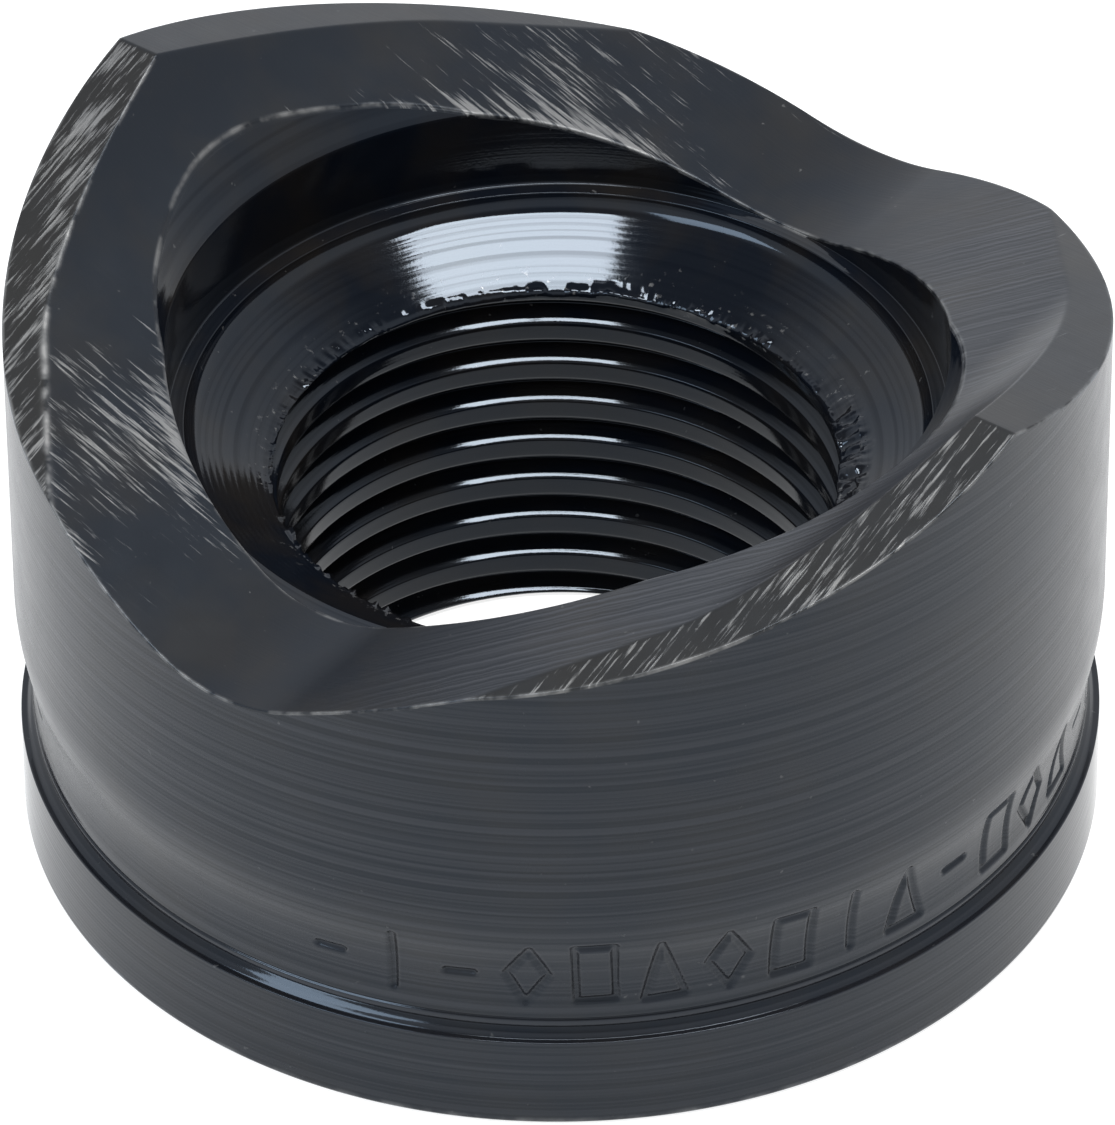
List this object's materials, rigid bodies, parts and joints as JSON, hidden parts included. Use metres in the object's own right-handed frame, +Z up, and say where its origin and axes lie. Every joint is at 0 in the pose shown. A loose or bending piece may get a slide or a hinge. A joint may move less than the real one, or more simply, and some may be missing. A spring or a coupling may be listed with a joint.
{
  "type": "knockout punch",
  "caption": "Threaded knockout punch for one-inch conduit holes: blackened tool steel, two raised cutting peaks, two valleys, deep counterbore and a through thread for the draw stud.",
  "frame": {"origin": "centre of the flat base face, on the axis of the thread", "axes": "+Z up along the thread axis towards the cutting edge; the two cutting peaks lie on the X axis and the two valleys on the Y axis"},
  "size_m": [0.0346, 0.0346, 0.0216],
  "materials": {
    "black_oxide_steel": "satin"
  },
  "bodies": {
    "root": {"punch_body": "black_oxide_steel"}
  },
  "joints": []
}
